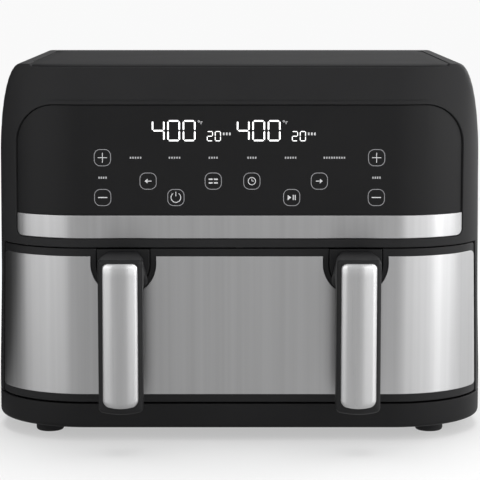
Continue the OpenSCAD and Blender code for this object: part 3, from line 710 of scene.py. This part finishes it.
# ---------------------------------------------------------------- base, feet, top cover
def make_base():
    """The base: a plinth with softly rolled edges, sunk a little in its top."""
    # Heights, and how many millimetres in from the outline each row lies
    rows = [(BASE_Z1, 2.2), (BASE_Z1, 0.9), (BASE_Z1 - 0.25 * MM, 0.3), (BASE_Z1 - 0.9 * MM, 0),
            (BASE_Z0 + 3.6 * MM, 0), (BASE_Z0 + 2.4 * MM, 0.2), (BASE_Z0 + 1.3 * MM, 0.65),
            (BASE_Z0 + 0.6 * MM, 1.3), (BASE_Z0 + 0.15 * MM, 2.2), (BASE_Z0, 3.3)]
    back_r = 28 * MM

    def ring_at(inset):
        """The base's outline, drawn in by a number of millimetres."""
        d = inset * MM
        right = [(0, FRONT + d)]
        right += [(FLAT + (CORNER - d) * math.sin(math.radians(3 * k)),
                   FRONT + CORNER - (CORNER - d) * math.cos(math.radians(3 * k))) for k in range(31)]
        right += [(HALF - back_r + (back_r - d) * math.cos(math.radians(7.5 * k)),
                   BACK - back_r + (back_r - d) * math.sin(math.radians(7.5 * k))) for k in range(13)]
        return right + [(0, BACK - d)] + [(-x, y) for x, y in reversed(right[1:])]

    bm = bmesh.new()
    loops = [[bm.verts.new((x, y, z)) for x, y in ring_at(inset)] for z, inset in rows]
    skin(bm, loops)
    bm.faces.new(loops[-1])
    # The well in its top
    shrink = 0.995
    well = [bm.verts.new((v.co.x * shrink, v.co.y * shrink, BASE_Z0 + 3 * MM)) for v in loops[0]]
    skin(bm, [well, loops[0]])
    bm.faces.new(well)
    obj = tidy(bm, "base_shell")
    smooth(obj)
    finish_piece(obj, "base", "housing", "shell", "base_tray")


def make_feet():
    """Four round feet, with a rolled edge below and a small flare where they meet the base."""
    lo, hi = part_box("feet")
    radius = 11.7 * MM
    profile = [(radius - 3 * MM, 0), (radius - 1.4 * MM, 0.25 * MM), (radius - 0.5 * MM, 0.9 * MM),
               (radius, 2.2 * MM), (radius, BASE_Z0 - 1.2 * MM),
               (radius + 0.6 * MM, BASE_Z0 + 0.2 * MM)]
    bm = bmesh.new()
    steps = 48
    turns = [2 * math.pi * k / steps for k in range(steps)]
    for x in (lo.x + radius, hi.x - radius):
        for y in (lo.y + radius, hi.y - radius):
            rings = []
            for r, z in profile:
                rings.append([bm.verts.new((x + r * math.cos(a), y + r * math.sin(a), z))
                              for a in turns])
            bm.faces.new(rings[0])
            bm.faces.new(rings[-1])
            skin(bm, rings)
    obj = tidy(bm, "feet_rubber")
    smooth(obj, 50)
    finish_piece(obj, "rubber", "housing", "rubber", "feet")


def make_cover():
    """The top cover: flat, with a long soft roll at its front edge and rounded front corners."""
    back = high("top_cover").y
    top = TOP + 0.1 * MM
    roll = 15 * MM
    drop = 2.0 * MM
    under = low("top_cover").z - 0.6 * MM
    xs = [COVER_HALF * math.sin(math.radians(90 * k / 40)) for k in range(-40, 41)]
    depths = [roll * (1 - math.cos(math.radians(90 * k / 14))) for k in range(15)]
    length = back - FRONT - 1 * MM
    ys = depths + [roll + (length - roll) * k / 6 for k in range(1, 7)]
    bm = bmesh.new()

    def start(x):
        """How far the front edge lies behind its middle, at x."""
        if abs(x) <= FLAT:
            edge = 0.0
        else:
            edge = CORNER - math.sqrt(CORNER ** 2 - (abs(x) - FLAT) ** 2)
        corner = 4 * MM
        inside = COVER_HALF - abs(x)
        if inside < corner:
            edge += corner - math.sqrt(max(0.0, corner ** 2 - (corner - inside) ** 2))
        return edge

    def height(x, run):
        """Height of the cover at x, a distance behind its front edge."""
        side = COVER_HALF - abs(x)
        sag = 0.7 * MM * (1 - ease(side / (10 * MM)))
        fall = drop * (1 - math.sin(math.acos(max(0.0, 1 - run / roll)))) if run < roll else 0.0
        return top - fall - sag

    grid = []
    front = FRONT + 1 * MM
    for x in xs:
        edge = start(x)
        grid.append([bm.verts.new((x, front + edge + y * (length - edge) / length, height(x, y)))
                     for y in ys])
    for a, b in zip(grid, grid[1:]):
        for k in range(len(ys) - 1):
            bm.faces.new((a[k], b[k], b[k + 1], a[k + 1]))
    rim = bmesh.ops.extrude_edge_only(bm, edges=[e for e in bm.edges if e.is_boundary])["geom"]
    for v in rim:
        if isinstance(v, bmesh.types.BMVert):
            v.co.z = under
    obj = tidy(bm, "top_cover_panel")
    smooth(obj, 40, False)
    finish_piece(obj, "cover", "housing", "shell", "top_cover")


make_base()
make_feet()
make_cover()


# ---------------------------------------------------------------- graphics on the panel
INK_Y = FRONT + PANEL_DEPTH
INK = 0.06 * MM


class Ink:
    """Flat marks that stand a hair proud of the panel. X and Z in millimetres."""

    def __init__(self):
        self.bm = bmesh.new()

    def plate(self, points):
        """A convex plate with these corners, anticlockwise."""
        front = [self.bm.verts.new((x * MM, INK_Y - INK, z * MM)) for x, z in points]
        back = [self.bm.verts.new((x * MM, INK_Y + INK, z * MM)) for x, z in points]
        self.bm.faces.new(front)
        self.bm.faces.new(back[::-1])
        skin(self.bm, [front, back])

    def bar(self, x, z, w, h):
        """A rectangle with its middle at x, z."""
        self.plate([(x - w / 2, z - h / 2), (x + w / 2, z - h / 2),
                    (x + w / 2, z + h / 2), (x - w / 2, z + h / 2)])

    def band(self, outer, inner, closed=True):
        """Plates between two outlines that hold as many points each."""
        count = len(outer)
        for k in range(count if closed else count - 1):
            n = (k + 1) % count
            self.plate([outer[k], outer[n], inner[n], inner[k]])

    def arc(self, x, z, r, w, first=0.0, last=360.0):
        """A ring, or the part of it between two angles in degrees."""
        steps = max(6, int(abs(last - first) / 15))
        turn = [math.radians(first + (last - first) * k / steps) for k in range(steps + 1)]
        wide, narrow = r + w / 2, r - w / 2
        self.band([(x + wide * math.cos(a), z + wide * math.sin(a)) for a in turn],
                  [(x + narrow * math.cos(a), z + narrow * math.sin(a)) for a in turn], False)

    def button(self, x, z):
        """The outline of a touch button: a square ring with round corners."""
        half, corner, w = 6.95, 5.1, 0.55
        fine, tight = half - w, corner - w
        self.band(rounded(x - half, z - half, x + half, z + half, corner, corner, 8),
                  rounded(x - fine, z - fine, x + fine, z + fine, tight, tight, 8))

    def digit(self, x, z, w, h, t, painted_level):
        """A seven-segment figure whose lower left corner is at x, z; lit names its segments."""
        g = 0.4 * t
        half = h / 2
        lean = t / 2
        level = {"a": h - lean, "g": half, "d": lean}
        for name, at in level.items():
            if name in painted_level:
                left, right, mid = x + lean + g, x + w - lean - g, z + at
                self.plate([(left, mid), (left + lean, mid - lean), (right - lean, mid - lean),
                            (right, mid), (right - lean, mid + lean), (left + lean, mid + lean)])
        upright = {"f": (lean, half), "b": (w - lean, half), "e": (lean, 0), "c": (w - lean, 0)}
        for name, (dx, dz) in upright.items():
            if name in painted_level:
                mid = x + dx
                bottom = z + dz + (g if dz else lean + g)
                top = z + dz + half - (lean + g if dz else g)
                self.plate([(mid, bottom), (mid + lean, bottom + lean), (mid + lean, top - lean),
                            (mid, top), (mid - lean, top - lean), (mid - lean, bottom + lean)])

    def done(self, name, material):
        """Ends the drawing: its marks become one piece."""
        obj = tidy(self.bm, name)
        finish_piece(obj, material, "housing", "panel_gloss")


SEGMENTS = {"0": "abcdef", "2": "abged", "4": "fgbc"}
DISPLAY_X = (-71.8, -2.45)
DISPLAY_Z = 249.1
glow = Ink()
small = Ink()
units = Ink()
for left in DISPLAY_X:
    for k, figure in enumerate("400"):
        glow.digit(left + 0.3 + 12.6 * k, DISPLAY_Z, 10.4, 17.2, 1.2, SEGMENTS[figure])
    for k, figure in enumerate("20"):
        small.digit(left + 45.2 + 6.5 * k, DISPLAY_Z, 4.9, 8.2, 0.6, SEGMENTS[figure])
    # A ring and a small angle for the unit of temperature, and three bars for the unit of time
    units.arc(left + 38.6, 265.3, 0.7, 0.35)
    units.bar(left + 40.9, 264.9, 1.6, 0.5)
    units.bar(left + 40.4, 263.9, 0.5, 1.8)
    for k in range(3):
        units.bar(left + 58.9 + 2.5 * k, 255.1, 1.3, 2.2)
glow.done("display_figures", "glow")
small.done("display_small_figures", "glow_small")
units.done("display_units", "print_bright")

PLUS_X = 112
HIGH_ROW, LABEL_ROW, MID_ROW, LOW_ROW = 235.6, 219.2, 216.4, 202.9
rings = Ink()
icons = Ink()
for s in (-1, 1):
    for z in (HIGH_ROW, LOW_ROW):
        rings.button(s * PLUS_X, z)
        icons.bar(s * PLUS_X, z, 7.6, 0.55 if z == HIGH_ROW else 0.8)
    icons.bar(s * PLUS_X, HIGH_ROW + 2.18, 0.55, 3.8)
    icons.bar(s * PLUS_X, HIGH_ROW - 2.18, 0.55, 3.8)
MID_BUTTONS = (-74.8, -21.5, 10.1, 65.3)
LOW_BUTTONS = (-52.1, 42.7)
for x in MID_BUTTONS:
    rings.button(x, MID_ROW)
for x in LOW_BUTTONS:
    rings.button(x, LOW_ROW)
rings.done("button_outlines", "print")
# Left and right zone
for x, s in ((MID_BUTTONS[0], -1), (MID_BUTTONS[3], 1)):
    icons.plate([(x + s * 2.8, MID_ROW), (x + s * 0.4, MID_ROW + s * 1.9),
                 (x + s * 0.4, MID_ROW - s * 1.9)])
    icons.bar(x - s * 1.3, MID_ROW, 3.0, 0.7)
# Both zones, then the clock
for dz in (-1.5, 1.5):
    icons.bar(MID_BUTTONS[1] - 2.1, MID_ROW + dz, 3.2, 1.1)
    icons.bar(MID_BUTTONS[1] + 2.1, MID_ROW + dz, 3.2, 1.1)
icons.arc(MID_BUTTONS[2], MID_ROW, 3.0, 0.6)
icons.bar(MID_BUTTONS[2], MID_ROW + 1.0, 0.5, 2.0)
icons.bar(MID_BUTTONS[2] + 0.95, MID_ROW, 1.4, 0.5)
# Power, then start and pause
icons.arc(LOW_BUTTONS[0], LOW_ROW, 4.0, 0.6, 125, 415)
icons.bar(LOW_BUTTONS[0], LOW_ROW + 2.9, 0.6, 3.6)
start_x = LOW_BUTTONS[1] - 3.2
icons.plate([(start_x, LOW_ROW - 2.2), (start_x + 2.9, LOW_ROW), (start_x, LOW_ROW + 2.2)])
for dx in (1.3, 2.9):
    icons.bar(LOW_BUTTONS[1] + dx, LOW_ROW, 0.8, 4.2)
# Short generic marks where the real panel names its settings
labels = Ink()
for x, count in ((-84.9, 5), (-53.1, 5), (-21.5, 4), (10.1, 4), (41.7, 5), (77.5, 9)):
    for k in range(count):
        labels.bar(x + (k - (count - 1) / 2) * 2.05, HIGH_ROW, 1.2, 1.6)
for s in (-1, 1):
    for k in range(4):
        labels.bar(s * PLUS_X + (k - 1.5) * 1.9, LABEL_ROW, 1.2, 1.7)
icons.done("panel_icons", "print_bright")
labels.done("panel_labels", "print_label")


# ---------------------------------------------------------------- CAD nodes that stay
# For each material its nodes, with the width of their rounded edges in millimetres
KEPT = {
    "shell": (("main_housing", 0.8), ("rear_cover", 0.8)),
    "rubber": (("cord_gland", 0.8),),
    "drawer": (("drawer_inner", 0.8),),
    "coating": (("basket", 0.35), ("divider_plate", 0.5),
                ("crisper_left", 0.3), ("crisper_right", 0.3)),
    "silicone": (("divider_seal", 0.4), ("crisper_feet_left", 0.4), ("crisper_feet_right", 0.4)),
    "sheet": (("cavity_liner", 0.3), ("cavity_ceiling", 0), ("heat_shield", 0), ("exhaust_duct", 0),
              ("motor_bracket_left", 0), ("motor_bracket_right", 0), ("slide_rails", 0.4)),
    "heater": (("heater_left", 0), ("heater_right", 0)),
    "wire_steel": (("heater_guard_left", 0.2), ("heater_guard_right", 0.2),
                   ("temperature_probes", 0)),
    "motor": (("motor_left", 0), ("motor_right", 0)),
    "shaft": (("fan_shaft_left", 0), ("fan_shaft_right", 0)),
    "fan": (("convection_fan_left", 0), ("convection_fan_right", 0)),
    "black_inner": (("cooling_fan_left", 0), ("cooling_fan_right", 0), ("drawer_switch", 0),
                    ("board_parts", 0.3), ("digit_display", 0)),
    "board": (("power_board", 0), ("display_board", 0)),
    "contact": (("touch_pads", 0),),
    "sheath": (("wiring_harness", 0),),
    "ceramic": (("thermal_cutouts", 0), ("terminal_block", 0.3)),
    "screw": (("rear_screws", 0), ("base_screws", 0), ("handle_screws", 0), ("drawer_screws", 0),
              ("basket_screws", 0)),
    "plunger": (("switch_plunger", 0),),
}
for material, group in KEPT.items():
    for node, width in group:
        soften(node, width * MM, material)


# ---------------------------------------------------------------- floor, light and camera
# What the camera sees round the object; what reflections see, on the bright and on the dark side: the
# surroundings, and the floor's painted light and painted shade
BACKDROP = 0.95
SKY = (0.72, 0.05)
FLOOR_PAINTED_SHADE = (1.0, 0.05)
FLOOR_PAINTED_LIGHT = (0.38, 0.68)
# Where the surroundings and the floor's painted shade are dark and where the floor's painted light is
# bright, and over which range they change
DARK_SIDE = (-1.0, 0.8, 0.6)
DARK_SPAN = (0.87, 1.14)
KEY_SIDE = (1.0, -0.35, 0.0)
KEY_SPAN = (0.45, 1.05)


def facing(tree, side, span, values):
    """A value that changes from the first to the second as places come to lie towards one side."""
    nodes, links = tree.nodes, tree.links
    place = nodes.new("ShaderNodeTexCoord")
    aim = nodes.new("ShaderNodeVectorMath")
    aim.operation = "NORMALIZE"
    turn = nodes.new("ShaderNodeVectorMath")
    turn.operation = "DOT_PRODUCT"
    turn.inputs[1].default_value = side
    ramp = nodes.new("ShaderNodeMapRange")
    ramp.inputs["From Min"].default_value = span[0]
    ramp.inputs["From Max"].default_value = span[1]
    ramp.inputs["To Min"].default_value = values[0]
    ramp.inputs["To Max"].default_value = values[1]
    links.new(place.outputs["Object"], aim.inputs[0])
    links.new(aim.outputs["Vector"], turn.inputs[0])
    links.new(turn.outputs["Value"], ramp.inputs["Value"])
    return ramp.outputs["Result"]


def blend_floor(mat):
    """Dims the floor in reflections and paints light and shade on it there, brighter towards the key
    side and dark on the dark side, and fades it into the backdrop where the camera sees it.
    """
    nodes, links = mat.node_tree.nodes, mat.node_tree.links
    seen = nodes.new("ShaderNodeLightPath")
    # An emission stands for the floor in reflections: painted light towards the key side, painted shade
    # on the dark side
    painted_floor_glow = nodes.new("ShaderNodeEmission")
    painted_level = nodes.new("ShaderNodeMath")
    painted_level.operation = "MULTIPLY"
    links.new(facing(mat.node_tree, DARK_SIDE, DARK_SPAN, FLOOR_PAINTED_SHADE), painted_level.inputs[0])
    links.new(facing(mat.node_tree, KEY_SIDE, KEY_SPAN, FLOOR_PAINTED_LIGHT), painted_level.inputs[1])
    links.new(painted_level.outputs["Value"], painted_floor_glow.inputs["Strength"])
    place = nodes.new("ShaderNodeTexCoord")
    reach = nodes.new("ShaderNodeVectorMath")
    reach.operation = "LENGTH"
    fade = nodes.new("ShaderNodeMapRange")
    fade.interpolation_type = "SMOOTHSTEP"
    # Half floor and half backdrop near the object, all backdrop from 1.8 m
    fade.inputs["From Min"].default_value = 0.5
    fade.inputs["From Max"].default_value = 1.8
    fade.inputs["To Min"].default_value = 0.5
    fade.inputs["To Max"].default_value = 1.0
    gate = nodes.new("ShaderNodeMath")
    gate.operation = "MULTIPLY"
    sweep = nodes.new("ShaderNodeEmission")
    sweep.inputs["Strength"].default_value = BACKDROP
    pale = nodes.new("ShaderNodeMixShader")
    pick = nodes.new("ShaderNodeMixShader")
    links.new(place.outputs["Object"], reach.inputs[0])
    links.new(reach.outputs["Value"], fade.inputs["Value"])
    links.new(fade.outputs["Result"], gate.inputs[0])
    links.new(seen.outputs["Is Camera Ray"], gate.inputs[1])
    links.new(gate.outputs["Value"], pale.inputs[0])
    links.new(nodes["Principled BSDF"].outputs[0], pale.inputs[1])
    links.new(sweep.outputs[0], pale.inputs[2])
    links.new(seen.outputs["Is Glossy Ray"], pick.inputs[0])
    links.new(pale.outputs[0], pick.inputs[1])
    links.new(painted_floor_glow.outputs[0], pick.inputs[2])
    links.new(pick.outputs[0], nodes["Material Output"].inputs["Surface"])


def make_stage():
    """A wide pale floor."""
    bm = bmesh.new()
    bmesh.ops.create_circle(bm, cap_ends=True, segments=64, radius=6)
    floor = tidy(bm, "floor")
    mat, _ = shader("floor_pale", (0.66, 0.66, 0.66), 0.8, 0, 0.1)
    vary(mat, noise(mat, 0.5), "Base Color", (0.65, 0.65, 0.65), (0.67, 0.67, 0.67))
    blend_floor(mat)
    floor.data.materials.append(mat)


def softbox(name, place, aim, size, power):
    """A rectangular area light that faces a place."""
    data = bpy.data.lights.new(name, "AREA")
    data.shape = "RECTANGLE"
    data.size, data.size_y = size
    data.energy = power
    lamp = bpy.data.objects.new(name, data)
    lamp.location = place
    lamp.rotation_mode = "QUATERNION"
    lamp.rotation_quaternion = (Vector(aim) - Vector(place)).to_track_quat("-Z", "Y")
    bpy.context.scene.collection.objects.link(lamp)
    return lamp


def make_world():
    """Even studio surroundings: white where the camera sees them, dim behind and to the left."""
    world = bpy.data.worlds.new("studio")
    bpy.context.scene.world = world
    world.use_nodes = True
    nodes, links = world.node_tree.nodes, world.node_tree.links
    seen = nodes.new("ShaderNodeLightPath")
    pick = nodes.new("ShaderNodeMix")
    pick.inputs["B"].default_value = BACKDROP
    links.new(seen.outputs["Is Camera Ray"], pick.inputs["Factor"])
    links.new(facing(world.node_tree, DARK_SIDE, DARK_SPAN, SKY), pick.inputs["A"])
    links.new(pick.outputs["Result"], nodes["Background"].inputs["Strength"])
    nodes["Background"].inputs["Color"].default_value = (1, 1, 1, 1)


def make_light():
    """Soft boxes, most of them on the right, and one overhead that reflections don't show."""
    make_world()
    middle = (0, 0, 0.15)
    softbox("key_right", (2.16, -0.7, 0.6), middle, (1.4, 1.8), 17)
    softbox("wide_right", (1.6, -1.8, 0.7), middle, (2.2, 1.8), 14)
    softbox("side_right", (2.3, 0.75, 0.6), middle, (1.2, 1.8), 7)
    softbox("rim_right", (1.7, 1.6, 0.6), middle, (0.7, 1.8), 14)
    softbox("fill_left", (-1.84, -1.21, 0.6), middle, (2.4, 1.8), 14)
    overhead = softbox("overhead", (0, 0.7, 2.6), (0, 0.2, 0), (2.0, 2.0), 90)
    overhead.visible_glossy = False


def make_camera():
    """The photo's view: from the front and a little above."""
    distance = 1.700
    pitch = 7.35
    data = bpy.data.cameras.new("camera")
    data.lens = 156.75
    data.sensor_width = 36
    data.clip_end = 200
    cam = bpy.data.objects.new("camera", data)
    cam.location = (0.0004, FRONT - distance, 0.3873)
    cam.rotation_euler = (math.radians(90 - pitch), 0, 0)
    bpy.context.scene.collection.objects.link(cam)
    bpy.context.scene.camera = cam


make_stage()
make_light()
make_camera()
bpy.context.scene.view_settings.view_transform = "Standard"
